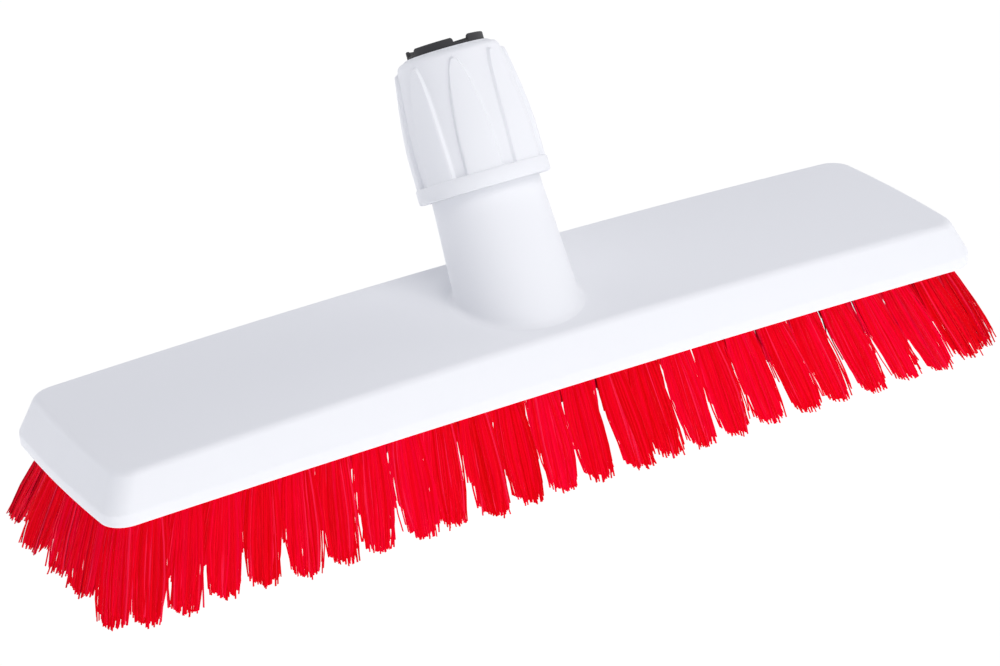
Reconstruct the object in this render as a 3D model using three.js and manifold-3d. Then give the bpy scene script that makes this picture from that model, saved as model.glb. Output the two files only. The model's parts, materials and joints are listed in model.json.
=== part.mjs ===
// Floor scrub brush. A long moulded block carries rows of leaning bristle tufts. A hollow stem rises
// from the block and leans back. A lock collar, screwed on the stem's neck, carries a split collet that
// grips a round broom handle pushed into the stem.
// Millimetres and degrees. +Z is up and Z = 0 is the floor that the trimmed bristles stand on. X runs
// along the block, and the stem leans towards +Y.

import * as THREE from 'three';
import { mergeGeometries, mergeVertices } from 'three/addons/utils/BufferGeometryUtils.js';
import Module from 'manifold-3d';

const wasm = await Module();
wasm.setup();

// Clearances
const FIT_GAP = 0.3; // between pieces that seat in or pass one another
const END_GAP = 1; // left at the end of a sliding travel

// Block
const BLOCK_LENGTH = 305;
const BLOCK_WIDTH = 74;
const BLOCK_HEIGHT = 15.4; // underside to the top face, at the ends
const BLOCK_ARCH = 1.6; // how far the whole block rises at mid length
const TOP_CROWN = 1.2; // extra thickness of the block at mid length
const LIP_HEIGHT = 4.2; // upright band around the underside
const LIP_CORNER_RADIUS = 7;
const TOP_CORNER_RADIUS = 6;
const END_DRAFT = 5.5; // how far the top face is set in from the lip at the ends
const SIDE_DRAFT = 3.3; // the same at the front and the back
const TOP_EDGE_RADIUS = 2.6;

// Bristle tufts
const TRIM_HEIGHT = 29.5; // floor to the block's underside, at the ends
const TUFT_PITCH = 11.8; // along a row
const ROW_SPACING = 11.2;
const END_INSET = 8.6; // block's end to the middle of the tufts along it
const END_SPACING = 12.9; // between the tufts along an end
const CORNER_SETBACK = 3.5; // how far the front corner tufts stand behind the front row
const TUFT_HOLE_DIAMETER = 7;
const TUFT_TIP_DIAMETER = 9;
const STRANDS_PER_TUFT = 3;
const STRAND_SIDES = 3;
const STRAND_ROOT = 1; // how deep a strand runs into its backing
const SIDE_LEAN = 22; // outward lean of the front and rear rows
const END_LEAN = 23; // outward lean of the tufts at the ends
const RIM_WIDTH = 4.2; // solid border of the block around the tufted field
const HOLE_WALL = 0.2; // least backing outside a tuft hole
const BACKING_DEPTH = 5.5; // thickness of the backing slices under the block

// Broom handle and the socket that takes it
const HANDLE_DIAMETER = 22;
const HANDLE_CLEARANCE = 0.25; // all round the handle
const SOCKET_FLOOR = 8; // height of the handle's stop above the block, along the stem
const STOP_PAD_DIAMETER = 16; // flat middle of that stop

// Stem
const STEM_LEAN = 26.5; // back from upright
const STEM_SETBACK = 6.8; // the stem's axis leaves the block this far in front of its middle
const STEM_LENGTH = 42; // block to the shoulder under the neck
const STEM_SHOULDER = 1.4; // step from the neck out to the stem
const STEM_FLARE = 2.1; // growth of the stem's radius from its shoulder to the block
const STEM_FILLET = 2.2;
const NECK_LENGTH = 26;
const NECK_WALL = 3;

// Thread between neck and collar
const THREAD_PITCH = 6;
const THREAD_DEPTH = 1.2;
const THREAD_TURNS = 2;
const THREAD_FLANK = 0.8; // how much wider a ridge is at its root than at half depth
const FLANK_GAP = 0.4;
const THREAD_LEAD_IN = 4.5; // shoulder to the middle of the first ridge

// Collet
const COLLET_WALL = 1.05;
const COLLET_SKIRT = 20; // flange down to the tip of the split fingers
const COLLET_TAPER = 0.45; // how much slimmer the fingers' tips are
const FLANGE_WIDTH = 1.85;
const FLANGE_THICKNESS = 4;
const COLLET_RISE = 0.8; // ring that stands out of the collar
const FINGER_COUNT = 6;
const FINGER_SLIT = 1.6;
const TAB_COUNT = 4;
const TAB_HEIGHT = 1.8;
const TAB_GAP = 24; // open angle between two tabs

// Collar
const COLLAR_OVERLAP = 4.8; // how far the collar's skirt hangs over the stem's shoulder
const TIGHTEN_TRAVEL = 1.5; // travel left for tightening
const COLLAR_WALL = 3.55; // outside the thread
const LEDGE_THICKNESS = 2; // inner ledge that lifts the collet
const LIP_THICKNESS = 3.1; // top lip that presses the collet down, at its outer edge
const LIP_WALL = 0.9; // top lip outside the collet's flange
const LIP_RISE = 1.3; // how far the top face climbs to the mouth
const MOUTH_GAP = 0.4; // around the collet, in the top lip
const BAND_HEIGHT = 5; // plain band at the bottom
const BAND_FLARE = 0.45; // how far the band stands out from the body
const PETAL_COUNT = 8;
const PETAL_ANGLE = 30; // width of a petal at its foot
const PETAL_RELIEF = 1.1; // how far the petals stand out
const PETAL_EDGE = 2.3; // angle over which a petal's edge slopes down
const PETAL_TURN = 21; // angle from the front of the stem to the nearest petal
const STRAIGHT_HEIGHT = 10; // height of the petals below their taper
const PETAL_TAPER = 3; // how much slimmer the collar is at the petals' tips
const PETAL_TAPER_POWER = 1.45; // above 1 the taper grows steeper upwards
const TOP_ROUNDING = 2.6; // height of the rounded top edge, above the petals' tips
const EDGE_BREAK = 0.5; // small chamfers

// Facets
const ROUND_STEPS = 32; // around the stem
const THREAD_STEPS = 24; // along one turn of thread
const CORNER_STEPS = 5;
const SIDE_STEPS = 8;
const END_STEPS = 4;
const FILLET_STEPS = 3;
const PETAL_STEPS = 3; // across a petal
const FLOOR_STEPS = 4; // across the floor between two petals
const PETAL_ROWS = 6; // up a petal
const ROUNDING_STEPS = 3;
const EDGE_STEPS = 3;
const TOP_FACE_STEPS = 2;
const FINGER_STEPS = 8; // along one collet finger
const SAME_POINT = 0.0001; // points closer than this are one

// Radii around the stem's axis, from the handle outwards
const socketRadius = HANDLE_DIAMETER / 2 + HANDLE_CLEARANCE;
const colletRadius = socketRadius + COLLET_WALL;
const colletTipRadius = colletRadius - COLLET_TAPER;
const flangeRadius = colletRadius + FLANGE_WIDTH;
const neckRadius = colletRadius + FIT_GAP + NECK_WALL;
const neckCrestRadius = neckRadius + THREAD_DEPTH;
const collarRootRadius = neckCrestRadius + FIT_GAP;
const collarCrestRadius = neckRadius + FIT_GAP;
const stemTopRadius = neckRadius + STEM_SHOULDER;
const stemBaseRadius = stemTopRadius + STEM_FLARE;
const collarBodyRadius = collarRootRadius + COLLAR_WALL;
const bandRadius = collarBodyRadius + BAND_FLARE;
const grooveRadius = flangeRadius + FIT_GAP;
const lipRadius = grooveRadius + LIP_WALL;
const mouthRadius = colletRadius + MOUTH_GAP;

// Heights along the stem's axis, from the block's top
const neckTop = STEM_LENGTH + NECK_LENGTH;
const collarBottom = STEM_LENGTH - COLLAR_OVERLAP;
const skirtTop = STEM_LENGTH + TIGHTEN_TRAVEL + END_GAP / 2;
const ceiling = neckTop + TIGHTEN_TRAVEL + END_GAP;
const flangeBottom = ceiling + LEDGE_THICKNESS + FIT_GAP;
const flangeTop = flangeBottom + FLANGE_THICKNESS;
const lipTop = flangeTop + FIT_GAP + LIP_THICKNESS;
const collarTop = lipTop + LIP_RISE;
const colletBottom = flangeBottom - COLLET_SKIRT;
const colletRingTop = collarTop + COLLET_RISE;
const colletTop = colletRingTop + TAB_HEIGHT;
const seatBottom = colletBottom - TIGHTEN_TRAVEL - END_GAP;
const neckThreadStart = STEM_LENGTH + THREAD_LEAD_IN;
const collarThreadStart = neckThreadStart + THREAD_PITCH / 2;

// Block levels and the tufted field
const blockTop = TRIM_HEIGHT + BLOCK_ARCH + BLOCK_HEIGHT + TOP_CROWN;
const holeRadius = TUFT_HOLE_DIAMETER / 2;
const tuftFlare = TUFT_TIP_DIAMETER / TUFT_HOLE_DIAMETER;
const fieldMargin = RIM_WIDTH + FIT_GAP + HOLE_WALL + holeRadius;
const longRowTufts = Math.floor((BLOCK_LENGTH - 2 * fieldMargin) / TUFT_PITCH) + 1;
const rowCount = Math.floor((BLOCK_WIDTH - 2 * fieldMargin) / ROW_SPACING) + 1;
const rearRow = rowCount - 1;
const endTuftX = BLOCK_LENGTH / 2 - END_INSET;
const lastTuftY = (rearRow * ROW_SPACING) / 2;
const pocketLength = BLOCK_LENGTH - 2 * RIM_WIDTH;
const pocketWidth = BLOCK_WIDTH - 2 * RIM_WIDTH;

const lean = THREE.MathUtils.degToRad(STEM_LEAN);
const FULL_TURN = 2 * Math.PI;

// Mesh helpers

// A closed body through rings of equally many points. Each ring is joined to the next. The ends are
// closed by fans, or the last ring is joined to the first when the body is hollow right through.
function loft(rings, hollow = false) {
  const count = rings[0].length;
  const points = rings.flat();
  const triangles = [];
  const joins = hollow ? rings.length : rings.length - 1;
  for (let r = 0; r < joins; r++) {
    const low = r * count;
    const high = ((r + 1) % rings.length) * count;
    for (let i = 0; i < count; i++) {
      const next = (i + 1) % count;
      triangles.push(low + i, low + next, high + next, low + i, high + next, high + i);
    }
  }
  if (!hollow) {
    addFan(points, triangles, 0, count, true);
    addFan(points, triangles, (rings.length - 1) * count, count, false);
  }
  const geometry = new THREE.BufferGeometry();
  geometry.setFromPoints(points);
  geometry.setIndex(triangles);
  return outward(geometry);
}

// Closes the ring that starts at index first with triangles to its middle.
function addFan(points, triangles, first, count, reversed) {
  const middle = new THREE.Vector3();
  for (let i = 0; i < count; i++) middle.addScaledVector(points[first + i], 1 / count);
  const centre = points.push(middle) - 1;
  for (let i = 0; i < count; i++) {
    const pair = [first + i, first + ((i + 1) % count)];
    if (reversed) pair.reverse();
    triangles.push(pair[0], pair[1], centre);
  }
}

// Shares equal points, drops collapsed triangles and turns the faces outwards.
function outward(source) {
  const geometry = mergeVertices(source, SAME_POINT);
  const index = geometry.getIndex().array;
  const position = geometry.getAttribute('position');
  const kept = [];
  let volume = 0;
  const corner = [new THREE.Vector3(), new THREE.Vector3(), new THREE.Vector3()];
  for (let t = 0; t < index.length; t += 3) {
    const [a, b, c] = [index[t], index[t + 1], index[t + 2]];
    if (a === b || b === c || c === a) continue;
    kept.push([a, b, c]);
    corner.forEach((point, k) => point.fromBufferAttribute(position, index[t + k]));
    volume += corner[0].dot(corner[1].cross(corner[2]));
  }
  if (volume < 0) kept.forEach((triangle) => triangle.reverse());
  geometry.setIndex(kept.flat());
  return geometry;
}

// Boolean joins and cuts

function toSolid(geometry) {
  const bare = geometry.clone();
  bare.deleteAttribute('normal');
  bare.deleteAttribute('uv');
  const merged = outward(bare);
  return new wasm.Manifold(new wasm.Mesh({
    numProp: 3,
    vertProperties: new Float32Array(merged.getAttribute('position').array),
    triVerts: new Uint32Array(merged.getIndex().array),
  }));
}

function toGeometry(solid) {
  const mesh = solid.getMesh();
  const geometry = new THREE.BufferGeometry();
  geometry.setAttribute('position', new THREE.BufferAttribute(mesh.vertProperties, 3));
  geometry.setIndex(new THREE.BufferAttribute(mesh.triVerts, 1));
  geometry.computeVertexNormals();
  return geometry;
}

const join = (a, b) => toGeometry(toSolid(a).add(toSolid(b)));
const cut = (a, b) => toGeometry(toSolid(a).subtract(toSolid(b)));

// Rings

function circle(radius, height, count = ROUND_STEPS) {
  return Array.from({ length: count }, (_, i) => {
    const angle = (FULL_TURN * i) / count;
    return new THREE.Vector3(radius * Math.cos(angle), radius * Math.sin(angle), height);
  });
}

// Outline of the block inset from its lip by different amounts at the ends and the sides: straight
// sides and round corners.
function blockOutline(endInset, sideInset, radius) {
  const spanX = BLOCK_LENGTH / 2 - endInset - radius;
  const spanY = BLOCK_WIDTH / 2 - sideInset - radius;
  const corners = [[1, 1, SIDE_STEPS], [-1, 1, END_STEPS], [-1, -1, SIDE_STEPS], [1, -1, END_STEPS]];
  const onCorner = (quarter, angle) => {
    const [signX, signY] = corners[quarter % corners.length];
    return new THREE.Vector2(
      signX * spanX + radius * Math.cos(angle),
      signY * spanY + radius * Math.sin(angle),
    );
  };
  const points = [];
  corners.forEach(([, , steps], quarter) => {
    const turnAt = (share) => (Math.PI / 2) * (quarter + share);
    for (let i = 0; i < CORNER_STEPS; i++) points.push(onCorner(quarter, turnAt(i / CORNER_STEPS)));
    const from = onCorner(quarter, turnAt(1));
    const to = onCorner(quarter + 1, turnAt(1));
    for (let i = 0; i < steps; i++) points.push(from.clone().lerp(to, i / steps));
  });
  return points;
}

// Block

const midShare = (x) => 1 - (2 * x / BLOCK_LENGTH) ** 2;
const undersideAt = (x) => TRIM_HEIGHT + BLOCK_ARCH * midShare(x);

// Lifts a straight body along the block's arch.
function arched(geometry) {
  const position = geometry.getAttribute('position');
  for (let i = 0; i < position.count; i++) {
    position.setZ(i, position.getZ(i) + undersideAt(position.getX(i)));
  }
  return geometry;
}

// One level of the block's skin, at a height above its arched underside. The crown and the tighter
// corners come in step with the height above the lip.
function blockRing(endInset, sideInset, height) {
  const share = Math.max(0, (height - LIP_HEIGHT) / (BLOCK_HEIGHT - LIP_HEIGHT));
  const radius = THREE.MathUtils.lerp(LIP_CORNER_RADIUS, TOP_CORNER_RADIUS, share);
  return blockOutline(endInset, sideInset, radius).map(
    ({ x, y }) => new THREE.Vector3(x, y, undersideAt(x) + height + share * TOP_CROWN * midShare(x)),
  );
}

// The top face: its rim drawn in towards the middle line of the block.
function topFaceRing(rim, share) {
  const spineEnd = (BLOCK_LENGTH - BLOCK_WIDTH) / 2;
  return rim.map(({ x, y }) => {
    const spineX = THREE.MathUtils.clamp(x, -spineEnd, spineEnd);
    const newX = THREE.MathUtils.lerp(spineX, x, share);
    const height = undersideAt(newX) + BLOCK_HEIGHT + TOP_CROWN * midShare(newX);
    return new THREE.Vector3(newX, y * share, height);
  });
}

function makeBlock() {
  const edgeFoot = BLOCK_HEIGHT - TOP_EDGE_RADIUS;
  const draftShare = (edgeFoot - LIP_HEIGHT) / (BLOCK_HEIGHT - LIP_HEIGHT);
  const rings = [blockRing(0, 0, 0), blockRing(0, 0, LIP_HEIGHT)];
  for (let i = 0; i <= EDGE_STEPS; i++) {
    const angle = (Math.PI / 2) * (i / EDGE_STEPS);
    const inset = TOP_EDGE_RADIUS * (1 - Math.cos(angle));
    const height = edgeFoot + TOP_EDGE_RADIUS * Math.sin(angle);
    rings.push(blockRing(draftShare * END_DRAFT + inset, draftShare * SIDE_DRAFT + inset, height));
  }
  const rim = rings[rings.length - 1];
  for (let i = 1; i <= TOP_FACE_STEPS; i++) rings.push(topFaceRing(rim, 1 - i / TOP_FACE_STEPS));
  const pocketDepth = BACKING_DEPTH + FIT_GAP;
  const pocket = new THREE.BoxGeometry(pocketLength, pocketWidth, 2 * pocketDepth, SIDE_STEPS);
  return cut(loft(rings), arched(pocket));
}

// Bristles

// A leaning prism from its root in the backing down to the floor, where it is trimmed flat. It stands
// for a bunch of filaments, so it grows towards its tip as the tuft does.
function strand(root, tip, rootRadius, angle) {
  const rootHeight = undersideAt(root.x);
  const ringAt = (height) => {
    const share = 1 - height / rootHeight;
    const centre = root.clone().lerp(tip, share);
    const radius = rootRadius * THREE.MathUtils.lerp(1, tuftFlare, share);
    return Array.from({ length: STRAND_SIDES }, (_, i) => {
      const turn = angle + (FULL_TURN * i) / STRAND_SIDES;
      return new THREE.Vector3(
        centre.x + radius * Math.cos(turn),
        centre.y + radius * Math.sin(turn),
        height,
      );
    });
  };
  return loft([ringAt(rootHeight + STRAND_ROOT), ringAt(0)]);
}

// The strands of one tuft, spread evenly in its hole and leaning outwards with their place on the block.
function tuft(x, y) {
  const spread = Math.sin(Math.PI / STRANDS_PER_TUFT);
  const strandRadius = (holeRadius * spread) / (1 + spread) - FIT_GAP / 2;
  const rootOffset = holeRadius - strandRadius;
  const tipOffset = rootOffset * tuftFlare;
  const leanX = THREE.MathUtils.degToRad(END_LEAN) * (x / endTuftX);
  const leanY = THREE.MathUtils.degToRad(SIDE_LEAN) * (y / lastTuftY);
  const tipX = x + undersideAt(x) * Math.tan(leanX);
  const tipY = y + undersideAt(x) * Math.tan(leanY);
  const outwardAngle = (Math.sign(y) * Math.PI) / 2;
  return Array.from({ length: STRANDS_PER_TUFT }, (_, i) => {
    const angle = outwardAngle + (FULL_TURN * i) / STRANDS_PER_TUFT;
    const away = new THREE.Vector2(Math.cos(angle), Math.sin(angle));
    const root = new THREE.Vector2(x, y).addScaledVector(away, rootOffset);
    const tip = new THREE.Vector2(tipX, tipY).addScaledVector(away, tipOffset);
    return strand(root, tip, strandRadius, angle);
  });
}

// Places of a row's tufts as pairs of x and y. Every second row, from the front one on, is staggered by
// half a pitch. The ends of the brush are closed by tufts that stand further out: the front row's are
// set back from the corners, and those of the inner rows are spaced evenly, counted from the rear row.
// The second row leaves its ends open, because the corner tufts stand there.
function tuftPlaces(row) {
  const rowY = row * ROW_SPACING - lastTuftY;
  const staggered = row % 2 === 0;
  const closed = row === rearRow;
  const count = longRowTufts - (staggered ? 1 : closed ? 0 : 2);
  const places = Array.from({ length: count }, (_, i) => [(i - (count - 1) / 2) * TUFT_PITCH, rowY]);
  const endY = row === 0 ? rowY + CORNER_SETBACK : lastTuftY - (rearRow - row) * END_SPACING;
  if (row !== 1 && !closed) places.push([-endTuftX, endY], [endTuftX, endY]);
  return places;
}

// Seam between the backing slices of a row and the row in front of it, midway between their tufts.
function seamBefore(row) {
  const depths = (number) => tuftPlaces(number).map(([, y]) => y);
  return (Math.max(...depths(row - 1)) + Math.min(...depths(row))) / 2;
}

// Rows firstRow to lastRow, fused to their slice of the backing.
function makeBristles(firstRow, lastRow) {
  const strands = [];
  for (let row = firstRow; row <= lastRow; row++) {
    for (const [x, y] of tuftPlaces(row)) strands.push(...tuft(x, y));
  }
  const edge = pocketWidth / 2 - FIT_GAP;
  const front = firstRow === 0 ? -edge : seamBefore(firstRow) + FIT_GAP / 2;
  const rear = lastRow === rearRow ? edge : seamBefore(lastRow + 1) - FIT_GAP / 2;
  const length = pocketLength - 2 * FIT_GAP;
  const slice = new THREE.BoxGeometry(length, rear - front, BACKING_DEPTH, SIDE_STEPS);
  slice.translate(0, (front + rear) / 2, BACKING_DEPTH / 2);
  return join(arched(slice), mergeGeometries(strands));
}

// Stem, modelled along its own axis

const stemRadiusAt = (height) => stemBaseRadius - STEM_FLARE * (height / STEM_LENGTH);

// Rings of the rounded foot. On each line up the stem, a curve runs from the block's top to the
// stem's side, as long as a ball of the fillet's radius needs in the angle between the two.
function footRings() {
  const blockUp = new THREE.Vector3(0, -Math.sin(lean), Math.cos(lean));
  const slope = STEM_FLARE / STEM_LENGTH;
  const rings = Array.from({ length: FILLET_STEPS + 1 }, () => []);
  for (const { x, y } of circle(1, 0)) {
    const sideways = new THREE.Vector3(x, y, 0);
    const tilt = y * Math.sin(lean);
    const rise = (FIT_GAP + stemBaseRadius * tilt) / (Math.cos(lean) + slope * tilt);
    const crease = sideways.clone().multiplyScalar(stemRadiusAt(rise)).setZ(rise);
    const along = sideways.clone().addScaledVector(blockUp, -sideways.dot(blockUp)).normalize();
    const up = sideways.clone().multiplyScalar(-slope).setZ(1).normalize();
    const reach = STEM_FILLET / Math.tan(along.angleTo(up) / 2);
    const curve = new THREE.QuadraticBezierCurve3(
      crease.clone().addScaledVector(along, reach),
      crease,
      crease.clone().addScaledVector(up, reach),
    );
    rings.forEach((ring, i) => ring.push(curve.getPoint(i / FILLET_STEPS)));
  }
  return rings;
}

// A thread ridge: a four-sided section carried along a helix. Its root is sunk into the wall.
function threadRidge(rootRadius, crestRadius, start) {
  const sink = Math.sign(rootRadius - crestRadius) * (THREAD_DEPTH / 2);
  const middle = THREAD_PITCH / 2 - FLANK_GAP;
  const rootHalf = (middle + THREAD_FLANK) / 2;
  const crestHalf = (middle - THREAD_FLANK) / 2;
  const section = [
    [rootRadius + sink, -rootHalf],
    [crestRadius, -crestHalf],
    [crestRadius, crestHalf],
    [rootRadius + sink, rootHalf],
  ];
  const steps = THREAD_TURNS * THREAD_STEPS;
  const rings = Array.from({ length: steps + 1 }, (_, i) => {
    const angle = (FULL_TURN * i) / THREAD_STEPS;
    const height = start + (THREAD_PITCH * i) / THREAD_STEPS;
    return section.map(([radius, offset]) => new THREE.Vector3(
      radius * Math.cos(angle),
      radius * Math.sin(angle),
      height + offset,
    ));
  });
  return loft(rings);
}

function makeStem() {
  const body = loft([
    ...footRings(),
    circle(stemTopRadius, STEM_LENGTH - EDGE_BREAK),
    circle(stemTopRadius - EDGE_BREAK, STEM_LENGTH),
    circle(neckRadius, STEM_LENGTH),
    circle(neckRadius, neckTop - EDGE_BREAK),
    circle(neckRadius - EDGE_BREAK, neckTop),
    circle(colletRadius + FIT_GAP, neckTop),
    circle(colletTipRadius + FIT_GAP, seatBottom),
    circle(socketRadius, seatBottom),
    circle(socketRadius, SOCKET_FLOOR),
    circle(STOP_PAD_DIAMETER / 2, SOCKET_FLOOR),
  ]);
  return join(body, threadRidge(neckRadius, neckCrestRadius, neckThreadStart));
}

// Collet

function makeCollet() {
  const count = FINGER_COUNT * FINGER_STEPS;
  let collet = loft([
    circle(socketRadius, colletBottom, count),
    circle(colletTipRadius, colletBottom, count),
    circle(colletRadius, flangeBottom, count),
    circle(flangeRadius, flangeBottom, count),
    circle(flangeRadius, flangeTop, count),
    circle(colletRadius, flangeTop, count),
    circle(colletRadius, colletTop, count),
    circle(socketRadius, colletTop, count),
  ], true);
  const slitHeight = COLLET_SKIRT - FLANGE_THICKNESS + END_GAP;
  for (let i = 0; i < FINGER_COUNT; i++) {
    const slit = new THREE.BoxGeometry(flangeRadius, FINGER_SLIT, slitHeight);
    slit.translate(flangeRadius / 2 + socketRadius / 2, 0, colletBottom - END_GAP + slitHeight / 2);
    slit.rotateZ((FULL_TURN * (i + 0.5)) / FINGER_COUNT);
    collet = cut(collet, slit);
  }
  const gapHalf = THREE.MathUtils.degToRad(TAB_GAP) / 2;
  const reach = flangeRadius / Math.cos(gapHalf);
  for (let i = 0; i < TAB_COUNT; i++) {
    const wedge = new THREE.Shape([
      new THREE.Vector2(0, 0),
      new THREE.Vector2(reach * Math.cos(gapHalf), -reach * Math.sin(gapHalf)),
      new THREE.Vector2(reach * Math.cos(gapHalf), reach * Math.sin(gapHalf)),
    ]);
    const gap = new THREE.ExtrudeGeometry(wedge, { depth: TAB_HEIGHT + END_GAP, bevelEnabled: false });
    gap.rotateZ((FULL_TURN * i) / TAB_COUNT);
    gap.translate(0, 0, colletRingTop);
    collet = cut(collet, gap);
  }
  return collet;
}

// Collar

const petalFoot = collarBottom + BAND_HEIGHT;
const taperStart = petalFoot + STRAIGHT_HEIGHT;
const petalTip = lipTop - TOP_ROUNDING;

// Radius of the petals' faces: straight at the foot, then an ever steeper taper.
function petalRadius(height) {
  const share = THREE.MathUtils.clamp((height - taperStart) / (petalTip - taperStart), 0, 1);
  return collarBodyRadius - PETAL_TAPER * share ** PETAL_TAPER_POWER;
}

// One level of the collar's outside: petals of a given half angle, and the floor between them. The
// edges of the petals slope down to the floor.
function petalRing(height, petalHalf, faceRadius, floorRadius) {
  const sector = 360 / PETAL_COUNT;
  const floorFrom = petalHalf + PETAL_EDGE;
  const level = [];
  for (let i = 0; i <= PETAL_STEPS; i++) {
    level.push([THREE.MathUtils.lerp(-petalHalf, petalHalf, i / PETAL_STEPS), faceRadius]);
  }
  for (let i = 0; i <= FLOOR_STEPS; i++) {
    level.push([THREE.MathUtils.lerp(floorFrom, sector - floorFrom, i / FLOOR_STEPS), floorRadius]);
  }
  const points = [];
  for (let petal = 0; petal < PETAL_COUNT; petal++) {
    for (const [turn, radius] of level) {
      const angle = THREE.MathUtils.degToRad(petal * sector + turn - 90 - PETAL_TURN);
      points.push(new THREE.Vector3(radius * Math.cos(angle), radius * Math.sin(angle), height));
    }
  }
  return points;
}

// A round level of the collar, with no petals standing out.
const collarRing = (radius, height) => petalRing(height, PETAL_ANGLE / 2, radius, radius);

// The petals are tongues with a half ellipse as outline: each level is as wide as the ellipse there.
// Above their tips the floor rounds over to the top lip.
function petalRings() {
  const rings = [];
  for (let i = 0; i <= PETAL_ROWS; i++) {
    const angle = (Math.PI / 2) * (i / PETAL_ROWS);
    const height = THREE.MathUtils.lerp(petalFoot, petalTip, Math.sin(angle));
    const face = petalRadius(height);
    rings.push(petalRing(height, (PETAL_ANGLE / 2) * Math.cos(angle), face, face - PETAL_RELIEF));
  }
  for (let i = 1; i <= ROUNDING_STEPS; i++) {
    const angle = (Math.PI / 2) * (i / ROUNDING_STEPS);
    const height = THREE.MathUtils.lerp(petalTip, lipTop, Math.sin(angle));
    const radius = THREE.MathUtils.lerp(lipRadius, petalRadius(petalTip) - PETAL_RELIEF, Math.cos(angle));
    rings.push(petalRing(height, 0, radius, radius));
  }
  return rings;
}

function makeCollar() {
  const skirtRadius = stemRadiusAt(collarBottom - TIGHTEN_TRAVEL) + FIT_GAP;
  const threadTop = collarThreadStart + THREAD_TURNS * THREAD_PITCH + THREAD_PITCH / 2;
  const body = loft([
    collarRing(skirtRadius, skirtTop),
    collarRing(skirtRadius, collarBottom),
    collarRing(bandRadius - EDGE_BREAK, collarBottom),
    collarRing(bandRadius, collarBottom + EDGE_BREAK),
    collarRing(bandRadius, petalFoot - EDGE_BREAK),
    ...petalRings(),
    collarRing(mouthRadius, collarTop),
    collarRing(mouthRadius, flangeTop + FIT_GAP),
    collarRing(grooveRadius, flangeTop + FIT_GAP),
    collarRing(grooveRadius, flangeBottom - FIT_GAP),
    collarRing(mouthRadius, flangeBottom - FIT_GAP),
    collarRing(mouthRadius, ceiling),
    collarRing(collarCrestRadius, ceiling),
    collarRing(collarRootRadius, threadTop),
    collarRing(collarRootRadius, skirtTop),
  ], true);
  return join(body, threadRidge(collarRootRadius, collarCrestRadius, collarThreadStart));
}

// Assembly

const whitePlastic = { color: 0xf2f3f5, roughness: 0.42, metalness: 0 };
const blackPlastic = { color: 0x17181a, roughness: 0.5, metalness: 0 };
const redNylon = { color: 0xd0101e, roughness: 0.45, metalness: 0 };

function piece(name, geometry, finish) {
  const mesh = new THREE.Mesh(geometry, new THREE.MeshStandardMaterial(finish));
  mesh.name = name;
  return mesh;
}

const middleRow = Math.floor(rowCount / 2);

const socket = new THREE.Group();
socket.position.set(0, -STEM_SETBACK, blockTop);
socket.rotation.x = -lean;
socket.add(
  piece('socket_stem', makeStem(), whitePlastic),
  piece('lock_collar', makeCollar(), whitePlastic),
  piece('grip_collet', makeCollet(), blackPlastic),
);

const brush = new THREE.Group();
brush.add(
  piece('brush_block', makeBlock(), whitePlastic),
  piece('bristles_front_row', makeBristles(0, 0), redNylon),
  piece('bristles_front_inner_rows', makeBristles(1, middleRow - 1), redNylon),
  piece('bristles_rear_inner_rows', makeBristles(middleRow, rearRow - 1), redNylon),
  piece('bristles_rear_row', makeBristles(rearRow, rearRow), redNylon),
  socket,
);

export default brush;
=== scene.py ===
"""Floor scrub brush: a long white block with six rows of red tufts and a leaning, clamped handle socket."""

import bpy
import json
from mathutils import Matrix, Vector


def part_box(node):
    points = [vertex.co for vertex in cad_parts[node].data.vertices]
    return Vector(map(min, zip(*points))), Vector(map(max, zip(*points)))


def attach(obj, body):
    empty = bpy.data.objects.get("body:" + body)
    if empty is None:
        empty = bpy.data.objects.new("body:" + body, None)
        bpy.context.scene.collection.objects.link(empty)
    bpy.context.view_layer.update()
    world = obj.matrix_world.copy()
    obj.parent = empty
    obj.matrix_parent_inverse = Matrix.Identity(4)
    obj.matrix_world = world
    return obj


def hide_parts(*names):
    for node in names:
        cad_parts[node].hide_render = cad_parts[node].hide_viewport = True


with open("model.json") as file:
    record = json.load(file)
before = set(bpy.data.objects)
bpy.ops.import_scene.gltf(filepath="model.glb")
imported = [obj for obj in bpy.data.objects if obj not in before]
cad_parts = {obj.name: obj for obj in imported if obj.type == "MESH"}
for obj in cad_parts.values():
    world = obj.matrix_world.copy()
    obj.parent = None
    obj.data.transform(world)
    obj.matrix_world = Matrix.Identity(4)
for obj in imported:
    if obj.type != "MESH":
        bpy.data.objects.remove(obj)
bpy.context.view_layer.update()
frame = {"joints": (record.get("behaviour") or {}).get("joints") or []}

import json
import math

import bmesh
import bpy
import numpy as np
from bpy.props import FloatProperty, FloatVectorProperty, IntProperty, PointerProperty
from mathutils import Matrix, Vector
from mathutils.geometry import delaunay_2d_cdt

bl_info = {
    "name": "Floor Scrub Brush",
    "version": (1, 0, 0),
    "blender": (4, 5, 0),
    "location": "View3D > Sidebar > Scrub Brush",
    "description": "Builds a floor scrub brush around its packed solids",
    "category": "Add Mesh",
}

MM = 0.001
WELD = 1e-6  # metres between two points that become one

BLOCK_LOW, BLOCK_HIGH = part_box("brush_block")
STEM_AXIS = next(joint["axis"] for joint in frame["joints"] if joint["name"] == "collar_turn")


# Sizes and colours that a user can change


def length(label, millimetres, words):
    """A length, written in millimetres and held in metres."""
    return FloatProperty(name=label, description=words, default=millimetres * MM, unit="LENGTH", precision=5)


def angle(label, degrees, words):
    """An angle, written in degrees and held in radians."""
    return FloatProperty(name=label, description=words, default=math.radians(degrees), subtype="ANGLE")


def count(label, number, words):
    """A whole number."""
    return IntProperty(name=label, description=words, default=number, min=1)


def colour(label, value, words):
    """A linear colour."""
    return FloatVectorProperty(name=label, description=words, default=value, subtype="COLOR", min=0, max=1)


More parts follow.
